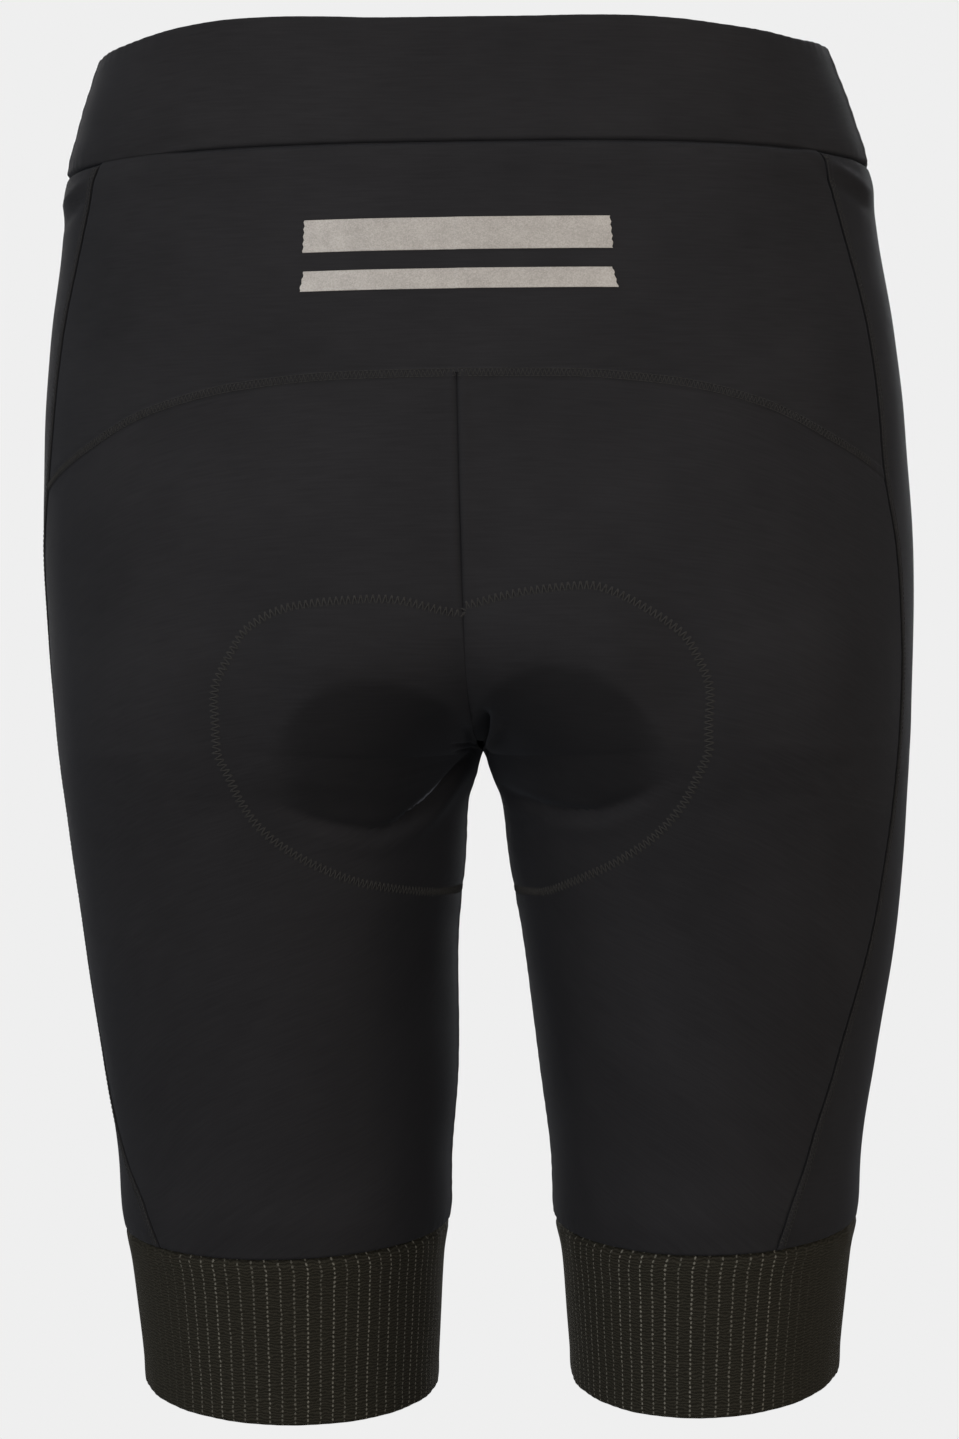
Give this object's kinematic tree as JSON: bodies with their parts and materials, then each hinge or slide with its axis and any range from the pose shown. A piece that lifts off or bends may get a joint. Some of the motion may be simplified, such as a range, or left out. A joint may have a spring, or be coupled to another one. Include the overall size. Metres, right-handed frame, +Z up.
{
  "type": "cycling shorts",
  "caption": "Worn, hollow padded cycling shorts with a wide waistband, curved back yoke, reflective bars, stitched seat pad and dotted knit leg bands.",
  "frame": {"origin": "middle of the waist opening, level with the rim of the waistband", "axes": "+Z up out of the waist opening, +X towards the wearer's right, +Y towards the wearer's front"},
  "size_m": [0.3424, 0.239, 0.533],
  "materials": {
    "shell_fabric": "near-black stretch knit, soft matte sheen",
    "waistband_fabric": "near-black doubled stretch knit, matte",
    "gripper_knit": "olive-black ribbed knit with columns of small light dots, matte",
    "pad_foam": "brushed black pad cover, matte",
    "reflective_print": "warm grey glass-bead transfer, finely speckled"
  },
  "bodies": {
    "root": {"waistband_back": "waistband_fabric", "waistband_front": "waistband_fabric", "back_yoke": "shell_fabric", "left_seat_panel": "shell_fabric", "right_seat_panel": "shell_fabric", "left_front_panel": "shell_fabric", "right_front_panel": "shell_fabric", "left_leg_gripper": "gripper_knit", "right_leg_gripper": "gripper_knit", "seat_pad": "pad_foam", "reflective_strip_upper": "reflective_print", "reflective_strip_lower": "reflective_print"}
  },
  "joints": []
}
